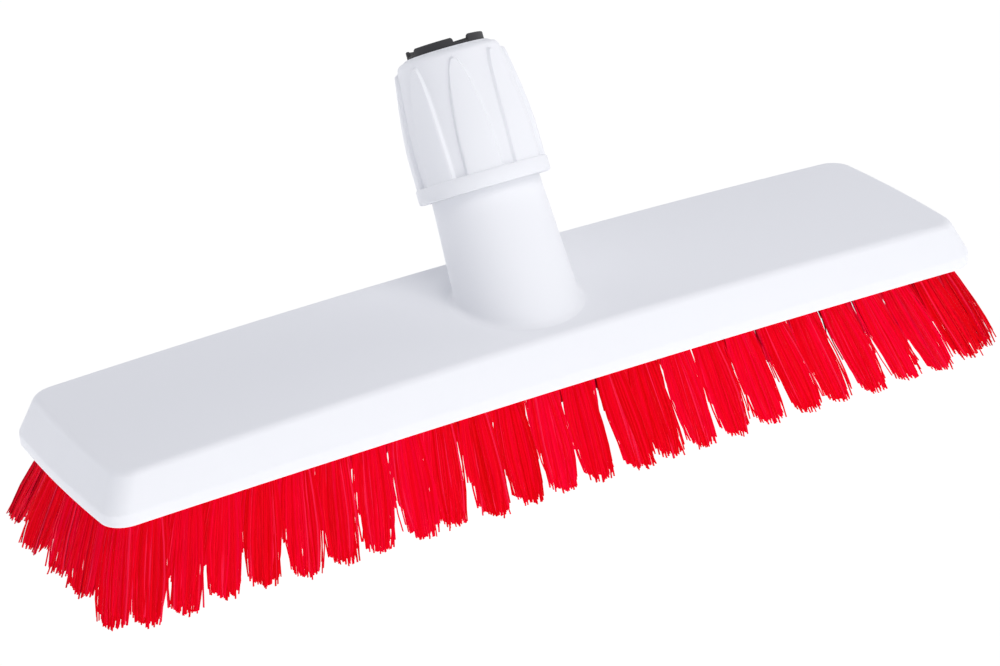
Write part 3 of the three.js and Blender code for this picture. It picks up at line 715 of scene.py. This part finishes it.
PETAL_STEPS = 26  # up a petal
PETAL_FACE_STEPS = 12  # across a petal's face
PETAL_EDGE_STEPS = 5  # down a petal's sloping edge or tip
GAP_STEPS = 12  # across the floor between two petals
CAP_STEPS = 8  # over the collar's rounded top
RING_STEPS = 120  # round the collet, beside the edges of its tabs and slits
STEEP = 1e-4  # radians between the two columns of an upright edge
TURN_DIGITS = 7  # columns whose turns agree to so many digits are one


def collar_outside(collar):
    """The collar's outside above its band. Petals are half ellipses in angle and height. Columns follow
    that outline: some lie on the petal's face, some on its sloping edge, some on the floor between two
    petals and some on the next petal's edge, so that the edges stay crisp at every height."""
    foot = collar.bottom + collar.band
    edge = arc(PETAL_EDGE_STEPS, 0, 1)
    face = arc(PETAL_FACE_STEPS, -1, 1)[:-1]
    gap = arc(GAP_STEPS, 0, 1)[1:-1]
    next_edge = edge[:0:-1]
    heights = foot + (collar.petal_tip - foot) * np.sin(arc(PETAL_STEPS))
    heights = np.concatenate([heights, collar.petal_tip + collar.tip_edge * edge[1:]])
    zone = np.repeat(["face", "edge", "gap", "next"], [len(face), len(edge), len(gap), len(next_edge)])
    level = np.concatenate([np.zeros(len(face)), edge, np.ones(len(gap)), next_edge])
    side = np.concatenate([face, np.ones(len(edge)), np.zeros(len(gap)), -np.ones(len(next_edge))])
    tip = collar.petal_tip + level * collar.tip_edge
    reached = np.clip((heights[:, None] - foot) / (tip - foot), 0, 1)
    half = (collar.petal_angle / 2 + level * collar.petal_edge) * np.sqrt(1 - reached**2)
    sector = 2 * math.pi / collar.petals
    turn = side * half + sector * (zone == "next")
    open_half = half[:, zone == "gap"]
    turn[:, zone == "gap"] = open_half + gap * (sector - 2 * open_half)
    slope = np.maximum(level, np.clip((heights[:, None] - collar.petal_tip) / collar.tip_edge, 0, 1))
    share = np.clip((heights - collar.taper_start) / (collar.petal_tip - collar.taper_start), 0, None)
    radius = (collar.face_radius - collar.taper * share**collar.taper_power)[:, None]
    return heights, turn, radius - collar.relief * smooth(slope)


def collar_skin(settings):
    """The collar as one closed grid: petals and rounded top outside, then the mouth, the collet's groove,
    the threaded bore and the skirt inside, and the band at the bottom."""
    collar = settings.collar
    heights, turn, radius = collar_outside(collar)
    sector = 2 * math.pi / collar.petals
    shift = -math.pi / 2 - collar.petal_turn
    start = sector * np.arange(collar.petals)[:, None] + shift
    outside_turn = (start[None] + turn[:, None, :]).reshape(len(heights), -1)
    outside_radius = np.tile(radius, collar.petals)
    bend = arc(CAP_STEPS)[1:]
    cap_radius = collar.lip_radius + (radius[-1].mean() - collar.lip_radius) * np.cos(bend)
    cap_height = heights[-1] + (collar.lip_top - heights[-1]) * np.sin(bend)
    foot = collar.bottom + collar.band
    soft = collar.soft
    rest = [
        *zip(cap_radius, cap_height),
        (collar.mouth_radius + 3 * soft, collar.top - soft),
        (collar.mouth_radius + soft, collar.top),
        (collar.mouth_radius, collar.top - soft),
        (collar.mouth_radius, collar.groove_top),
        (collar.groove_radius, collar.groove_top),
        (collar.groove_radius, collar.groove_bottom),
        (collar.mouth_radius, collar.groove_bottom),
        (collar.mouth_radius, collar.ceiling),
        (collar.crest_radius, collar.ceiling),
        (collar.thread_radius, collar.thread_top),
        (collar.thread_radius, collar.skirt_top),
        (collar.skirt_radius, collar.skirt_top),
        (collar.skirt_radius, collar.bottom + soft),
        (collar.skirt_radius + soft, collar.bottom),
        (collar.band_radius - 2 * soft, collar.bottom),
        (collar.band_radius - 0.6 * soft, collar.bottom + 0.6 * soft),
        (collar.band_radius, collar.bottom + 2 * soft),
        (collar.band_radius, foot - 1.6 * soft),
        (collar.band_radius - 0.4 * soft, foot - 0.5 * soft),
        (collar.band_radius - 1.2 * soft, foot - 0.1 * soft),
    ]
    plain = np.array(rest)
    across = np.stack([np.cos(outside_turn), np.sin(outside_turn)], -1) * outside_radius[..., None]
    level = np.broadcast_to(heights[:, None, None], (*across.shape[:2], 1))
    petals = np.concatenate([across, level], -1)
    cap_turn = np.repeat(outside_turn[-1:], CAP_STEPS, 0)
    rest_turn = np.concatenate([cap_turn, np.repeat(outside_turn[:1], len(rest) - CAP_STEPS, 0)])
    rest_across = np.stack([np.cos(rest_turn), np.sin(rest_turn)], -1) * plain[:, 0, None, None]
    rest_level = np.broadcast_to(plain[:, 1, None, None], (*rest_across.shape[:2], 1))
    rows = np.concatenate([petals, np.concatenate([rest_across, rest_level], -1)])
    return rows, grid_quads(*rows.shape[:2], joined=True)


def collet_skin(settings):
    """The collet as one closed grid: a wall section carried round the axis. The section's top follows the
    tabs with their round corners, and its bottom follows the slits between the fingers."""
    collet = settings.collet
    tab_sector = 2 * math.pi / collet.tabs
    corner = collet.tab_corner / collet.radius
    tab_edge = collet.tab_gap / 2 + corner * (1 - np.cos(arc(6)))
    tab_marks = np.concatenate([[collet.tab_gap / 2 - STEEP], tab_edge])
    slit_half = collet.slit / 2 / collet.radius
    slit_marks = np.array([slit_half - STEEP, slit_half + STEEP])
    finger_sector = 2 * math.pi / collet.fingers
    middle = tab_sector * np.arange(collet.tabs)[:, None]
    cut = finger_sector * (np.arange(collet.fingers)[:, None] + 0.5)
    turns = np.concatenate(
        [
            (middle + tab_marks).ravel(),
            (middle - tab_marks).ravel(),
            (cut + slit_marks).ravel(),
            (cut - slit_marks).ravel(),
            2 * math.pi * np.arange(RING_STEPS) / RING_STEPS,
        ]
    )
    turns = np.unique(np.round(turns % (2 * math.pi), TURN_DIGITS))
    from_gap = np.abs((turns + tab_sector / 2) % tab_sector - tab_sector / 2) - collet.tab_gap / 2
    rounded = np.clip(from_gap / corner, 0, 1)
    drop = collet.tab_corner * (1 - np.sqrt(1 - (1 - rounded) ** 2))
    top = np.where(from_gap < -STEEP / 2, collet.ring_top, collet.ring_top + collet.tab - drop)
    from_slit = np.abs((turns % finger_sector) - finger_sector / 2)
    bottom = np.where(from_slit < slit_half, collet.bottom + collet.slit_length, collet.bottom)
    edge = collet.edge
    # Radius, level and offset from it. Levels: 0 fingers' tips, 1 and 2 the flange's faces, 3 the rim
    section = [
        (collet.bore_radius + edge, 0, 0),
        (collet.tip_radius - edge, 0, 0),
        (collet.tip_radius, 0, edge),
        (collet.radius, 1, 0),
        (collet.flange_radius - edge, 1, 0),
        (collet.flange_radius, 1, edge),
        (collet.flange_radius, 2, -edge),
        (collet.flange_radius - edge, 2, 0),
        (collet.radius, 2, 0),
        (collet.radius, 3, -edge),
        (collet.radius - edge / 3, 3, -edge / 3),
        (collet.radius - edge, 3, 0),
        (collet.bore_radius + edge, 3, 0),
        (collet.bore_radius + edge / 3, 3, -edge / 3),
        (collet.bore_radius, 3, -edge),
        (collet.bore_radius, 2, 0),
        (collet.bore_radius, 1, 0),
        (collet.bore_radius, 0, edge),
    ]
    radius, base, offset = np.array(section).T
    flat = np.ones_like(turns)
    levels = np.stack([bottom, collet.flange_bottom * flat, collet.flange_top * flat, top])
    height = levels[base.astype(int)] + offset[:, None]
    rows = np.stack([radius[:, None] * np.cos(turns), radius[:, None] * np.sin(turns), height], -1)
    return rows, grid_quads(*rows.shape[:2], joined=True)


# Materials


def new_material(name):
    """A new material, its node tree and its Principled shader."""
    material = bpy.data.materials.new(name)
    material.use_nodes = True
    tree = material.node_tree
    return material, tree, tree.nodes["Principled BSDF"]


def add_node(tree, kind, values=(), **links):
    """Adds a node, sets socket values by name and links sockets by name, with spaces as underscores."""
    node = tree.nodes.new(kind)
    for label, value in dict(values).items():
        if label in node.inputs:
            node.inputs[label].default_value = value
        else:
            setattr(node, label, value)
    for label, source in links.items():
        tree.links.new(source, node.inputs[label.replace("_", " ")])
    return node


def colour_ramp(tree, share, stops):
    """A colour that runs through the stops, which give a colour for each share from 0 to 1."""
    ramp = add_node(tree, "ShaderNodeValToRGB", Fac=share)
    elements = ramp.color_ramp.elements
    for position in list(stops)[1:-1]:
        elements.new(position)
    for element, (position, shade) in zip(elements, stops.items()):
        element.position = position
        element.color = (*shade, 1)
    return ramp.outputs["Color"]


def moulded_skin():
    """A shader group for moulded plastic: fine grain for bumps, and broad mottle for colour and gloss, both
    in the piece's own coordinates."""
    name = "moulded_skin"
    if name in bpy.data.node_groups:
        return bpy.data.node_groups[name]
    group = bpy.data.node_groups.new(name, "ShaderNodeTree")
    for label, start in (("Grain Scale", 2600.0), ("Mottle Scale", 45.0)):
        group.interface.new_socket(label, in_out="INPUT", socket_type="NodeSocketFloat").default_value = start
    for label in ("Grain", "Mottle"):
        group.interface.new_socket(label, in_out="OUTPUT", socket_type="NodeSocketFloat")
    given = add_node(group, "NodeGroupInput")
    place = add_node(group, "ShaderNodeTexCoord").outputs["Object"]
    grain = add_node(
        group,
        "ShaderNodeTexNoise",
        {"Detail": 3.0, "Roughness": 0.6},
        Vector=place,
        Scale=given.outputs["Grain Scale"],
    )
    mottle = add_node(
        group,
        "ShaderNodeTexNoise",
        {"Detail": 4.0, "Roughness": 0.55},
        Vector=place,
        Scale=given.outputs["Mottle Scale"],
    )
    stretch = add_node(
        group, "ShaderNodeMapRange", {"From Min": 0.3, "From Max": 0.7}, Value=mottle.outputs["Fac"]
    )
    result = add_node(group, "NodeGroupOutput")
    group.links.new(grain.outputs["Fac"], result.inputs["Grain"])
    group.links.new(stretch.outputs["Result"], result.inputs["Mottle"])
    return group


def moulded_plastic(name, tones, gloss, grain, depth, shine):
    """Moulded plastic: two close tones and two close gloss values mixed by the mottle, over fine grain."""
    if name in bpy.data.materials:
        return bpy.data.materials[name]
    material, tree, shader = new_material(name)
    skin = add_node(tree, "ShaderNodeGroup", {"node_tree": moulded_skin()})
    skin.inputs["Grain Scale"].default_value = grain
    tone = colour_ramp(tree, skin.outputs["Mottle"], {0.0: tones[0], 1.0: tones[1]})
    tree.links.new(tone, shader.inputs["Base Color"])
    rough = add_node(
        tree,
        "ShaderNodeMapRange",
        {"To Min": gloss[0], "To Max": gloss[1]},
        Value=skin.outputs["Mottle"],
    )
    tree.links.new(rough.outputs["Result"], shader.inputs["Roughness"])
    grain_height = skin.outputs["Grain"]
    bump = add_node(tree, "ShaderNodeBump", {"Strength": 0.35, "Distance": depth}, Height=grain_height)
    tree.links.new(bump.outputs["Normal"], shader.inputs["Normal"])
    shader.inputs["IOR"].default_value = 1.49
    shader.inputs["Specular IOR Level"].default_value = shine
    return material


def red_filament(finish):
    """Extruded filament: each has its own tone of red, the palest being a painted highlight, and the brighter
    ones are glossier.
    """
    name = "red_filament"
    if name in bpy.data.materials:
        return bpy.data.materials[name]
    material, tree, shader = new_material(name)
    tone = add_node(tree, "ShaderNodeAttribute", {"attribute_name": "tone"}).outputs["Fac"]
    # The stop at 1.0 is a painted highlight: pale red on the few filaments of tone 1
    shades = {0.0: finish.red_deep, 0.45: finish.red, 0.9: finish.red_bright, 1.0: finish.red_painted_glint}
    tree.links.new(colour_ramp(tree, tone, shades), shader.inputs["Base Color"])
    rough = add_node(tree, "ShaderNodeMapRange", {"To Min": 0.6, "To Max": 0.4}, Value=tone)
    tree.links.new(rough.outputs["Result"], shader.inputs["Roughness"])
    shader.inputs["Specular IOR Level"].default_value = 0.015
    return material


def white_plastic(finish):
    """Satin white plastic of the block, stem and collar."""
    tones = finish.white, finish.white_cool
    return moulded_plastic("white_plastic", tones, (0.32, 0.4), grain=2600.0, depth=0.03 * MM, shine=0.5)


def black_plastic(finish):
    """Matt black plastic of the collet."""
    tones = finish.black, finish.black_worn
    return moulded_plastic("black_plastic", tones, (0.6, 0.72), grain=1900.0, depth=0.06 * MM, shine=0.02)


# Operators


class SCRUB_BRUSH_OT_head(bpy.types.Operator):
    """Build the block and its stem as one moulding with a drilled underside"""

    bl_idname = "scrub_brush.head"
    bl_label = "Block and Stem"

    def execute(self, context):
        settings = context.scene.scrub_brush
        socket = settings.socket
        crest = socket.neck_radius + socket.thread_depth
        ridge, *ridge_faces = thread_ridge(socket, socket.neck_radius, crest, socket.thread_start)
        points, faces = gather(
            head_skin(settings),
            *drilled_underside(settings.block, settings.tufts),
            (on_stem(settings, ridge), *ridge_faces),
        )
        head = add_piece("head_moulding", points, faces, weld=WELD)
        material = white_plastic(settings.finish)
        dress(head, material, "head", "white_plastic", "brush_block", "socket_stem")
        return {"FINISHED"}


class SCRUB_BRUSH_OT_bristles(bpy.types.Operator):
    """Build the tufts of all rows, filament by filament"""

    bl_idname = "scrub_brush.bristles"
    bl_label = "Bristles"

    def execute(self, context):
        settings = context.scene.scrub_brush
        last = settings.tufts.rows - 1
        middle = settings.tufts.rows // 2
        groups = {
            "bristles_front_row": (0, 0),
            "bristles_front_inner_rows": (1, middle - 1),
            "bristles_rear_inner_rows": (middle, last - 1),
            "bristles_rear_row": (last, last),
        }
        for node, (first_row, last_row) in groups.items():
            points, faces, normals, tone = bristle_rows(settings, first_row, last_row)
            piece = add_piece(node.replace("bristles", "filaments"), points, faces, crease=180)
            layer = piece.data.attributes.new("tone", "FLOAT", "POINT")
            layer.data.foreach_set("value", tone.astype(np.float32))
            piece.data.normals_split_custom_set(normals)
            piece.visible_shadow = False
            piece.visible_diffuse = False
            dress(piece, red_filament(settings.finish), "head", "red_bristle", node)
        return {"FINISHED"}


class SCRUB_BRUSH_OT_collar(bpy.types.Operator):
    """Build the lock collar with its petals and its inner thread"""

    bl_idname = "scrub_brush.collar"
    bl_label = "Lock Collar"

    def execute(self, context):
        settings = context.scene.scrub_brush
        collar = settings.collar
        rows, quads = collar_skin(settings)
        ridge = thread_ridge(settings.socket, collar.thread_radius, collar.crest_radius, collar.thread_start)
        points, faces = gather((rows, quads), ridge)
        piece = add_piece("collar_shell", on_stem(settings, points), faces, weld=WELD)
        dress(piece, white_plastic(settings.finish), "collar", "white_plastic", "lock_collar")
        return {"FINISHED"}


class SCRUB_BRUSH_OT_collet(bpy.types.Operator):
    """Build the split collet with its fingers and tabs"""

    bl_idname = "scrub_brush.collet"
    bl_label = "Grip Collet"

    def execute(self, context):
        settings = context.scene.scrub_brush
        rows, quads = collet_skin(settings)
        piece = add_piece("collet_ring", on_stem(settings, rows).reshape(-1, 3), [quads], crease=50)
        dress(piece, black_plastic(settings.finish), "collet", "black_plastic", "grip_collet")
        return {"FINISHED"}


# Where each lamp stands: degrees round from the brush's front, and degrees above the horizon
LAMP_ANGLES = {"key": (20, 20), "high": (0, 60), "back": (-150, 20), "right": (100, 20)}


def outward(azimuth, elevation):
    """Unit vector away from the brush, at an azimuth round from its front and above the horizon."""
    level = math.cos(elevation)
    return Vector((math.sin(azimuth) * level, -math.cos(azimuth) * level, math.sin(elevation)))


def add_lamp(stage, label, azimuth, elevation):
    """A soft square lamp at an azimuth and an elevation, turned to the brush."""
    lamp = bpy.data.lights.new(f"{label}_lamp", "AREA")
    lamp.size = stage.lamp_size
    lamp.energy = getattr(stage, label)
    lamp.color = stage.lamp
    away = outward(math.radians(azimuth), math.radians(elevation))
    piece = bpy.data.objects.new(lamp.name, lamp)
    piece.location = Vector((0, 0, stage.aim_height)) + away * stage.lamp_distance
    piece.rotation_euler = away.to_track_quat("Z", "Y").to_euler()
    bpy.context.scene.collection.objects.link(piece)


def seen_directly(tree):
    """A mask that is 1 for camera, mirror and glass rays."""
    light = add_node(tree, "ShaderNodeLightPath")
    first = add_node(tree, "ShaderNodeMath", {"operation": "MAXIMUM"})
    tree.links.new(light.outputs["Is Camera Ray"], first.inputs[0])
    tree.links.new(light.outputs["Is Glossy Ray"], first.inputs[1])
    second = add_node(tree, "ShaderNodeMath", {"operation": "MAXIMUM"})
    tree.links.new(first.outputs[0], second.inputs[0])
    tree.links.new(light.outputs["Is Transmission Ray"], second.inputs[1])
    return second.outputs[0]


class SCRUB_BRUSH_OT_stage(bpy.types.Operator):
    """Set up the floor, the lamps, the white surroundings and the camera"""

    bl_idname = "scrub_brush.stage"
    bl_label = "Stage"

    def execute(self, context):
        stage = context.scene.scrub_brush.stage
        self.make_floor(stage)
        self.make_world(context.scene, stage)
        for label, angles in LAMP_ANGLES.items():
            add_lamp(stage, label, *angles)
        self.make_camera(context.scene, stage)
        context.scene.view_settings.view_transform = "Standard"
        return {"FINISHED"}

    def make_floor(self, stage):
        """A wide sheet just under the trimmed bristles, white to the camera but for a faint shadow."""
        corners = stage.reach * np.array([[-1, -1, 0], [1, -1, 0], [1, 1, 0], [-1, 1, 0]])
        floor = add_piece("floor", corners - [0, 0, stage.clearance], [np.array([[0, 1, 2, 3]])])
        material, tree, shader = new_material("pale_floor")
        shader.inputs["Base Color"].default_value = (*stage.floor, 1)
        shader.inputs["Roughness"].default_value = 0.9
        shader.inputs["Emission Color"].default_value = (1, 1, 1, 1)
        shader.inputs["Emission Strength"].default_value = stage.table_light
        glow = add_node(tree, "ShaderNodeEmission", {"Strength": 1.0})
        mix = add_node(tree, "ShaderNodeMixShader")
        share = add_node(tree, "ShaderNodeMath", {"operation": "MULTIPLY"})
        tree.links.new(seen_directly(tree), share.inputs[0])
        share.inputs[1].default_value = stage.glow
        tree.links.new(share.outputs[0], mix.inputs[0])
        tree.links.new(shader.outputs["BSDF"], mix.inputs[1])
        tree.links.new(glow.outputs["Emission"], mix.inputs[2])
        tree.links.new(mix.outputs["Shader"], tree.nodes["Material Output"].inputs["Surface"])
        floor.data.materials.append(material)

    def make_world(self, scene, stage):
        """Even light from all around, and plain white where it is seen."""
        world = bpy.data.worlds.new("studio")
        world.use_nodes = True
        tree = world.node_tree
        background = tree.nodes["Background"]
        background.inputs["Color"].default_value = (*stage.sky, 1)
        background.inputs["Strength"].default_value = stage.ambient
        white = add_node(tree, "ShaderNodeBackground", {"Color": (1, 1, 1, 1), "Strength": 1.0})
        mix = add_node(tree, "ShaderNodeMixShader")
        tree.links.new(seen_directly(tree), mix.inputs[0])
        tree.links.new(background.outputs[0], mix.inputs[1])
        tree.links.new(white.outputs[0], mix.inputs[2])
        tree.links.new(mix.outputs[0], tree.nodes["World Output"].inputs["Surface"])
        scene.world = world

    def make_camera(self, scene, stage):
        """A long lens at the given angles, turned about its own line of sight."""
        back = outward(stage.azimuth, stage.elevation)
        right = Vector((math.cos(stage.azimuth), math.sin(stage.azimuth), 0))
        up = back.cross(right)
        turned_right = math.cos(stage.roll) * right - math.sin(stage.roll) * up
        turned_up = math.sin(stage.roll) * right + math.cos(stage.roll) * up
        place = Vector((0, 0, stage.aim_height)) + back * stage.distance
        camera = bpy.data.objects.new("camera", bpy.data.cameras.new("camera"))
        camera.data.lens = stage.lens
        camera.data.shift_x = stage.shift_x
        camera.data.shift_y = stage.shift_y
        facing = Matrix((turned_right, turned_up, back)).transposed()
        camera.matrix_world = Matrix.Translation(place) @ facing.to_4x4()
        scene.collection.objects.link(camera)
        scene.camera = camera


class SCRUB_BRUSH_PT_sidebar(bpy.types.Panel):
    """Sidebar page of the brush"""

    bl_idname = "SCRUB_BRUSH_PT_sidebar"
    bl_label = "Scrub Brush"
    bl_space_type = "VIEW_3D"
    bl_region_type = "UI"
    bl_category = "Scrub Brush"

    def draw(self, context):
        settings = context.scene.scrub_brush
        for operator in OPERATORS:
            self.layout.operator(operator.bl_idname)
        for group in BrushSettings.__annotations__:
            box = self.layout.box()
            box.label(text=group.title())
            sizes = getattr(settings, group)
            for name in sizes.__annotations__:
                box.prop(sizes, name)


OPERATORS = (
    SCRUB_BRUSH_OT_head,
    SCRUB_BRUSH_OT_bristles,
    SCRUB_BRUSH_OT_collar,
    SCRUB_BRUSH_OT_collet,
    SCRUB_BRUSH_OT_stage,
)
GROUPS = (
    BlockSizes,
    TuftSizes,
    SocketSizes,
    CollarSizes,
    ColletSizes,
    Finishes,
    StageSettings,
    BrushSettings,
)


def register():
    """Adds the settings, the operators and the sidebar page."""
    for group in (*GROUPS, *OPERATORS, SCRUB_BRUSH_PT_sidebar):
        bpy.utils.register_class(group)
    bpy.types.Scene.scrub_brush = PointerProperty(type=BrushSettings)


def unregister():
    """Takes them out again."""
    del bpy.types.Scene.scrub_brush
    for group in reversed((*GROUPS, *OPERATORS, SCRUB_BRUSH_PT_sidebar)):
        bpy.utils.unregister_class(group)


def main():
    """Builds the brush and its stage."""
    register()
    bpy.ops.scrub_brush.head()
    bpy.ops.scrub_brush.bristles()
    bpy.ops.scrub_brush.collar()
    bpy.ops.scrub_brush.collet()
    bpy.ops.scrub_brush.stage()


if __name__ == "__main__":
    main()
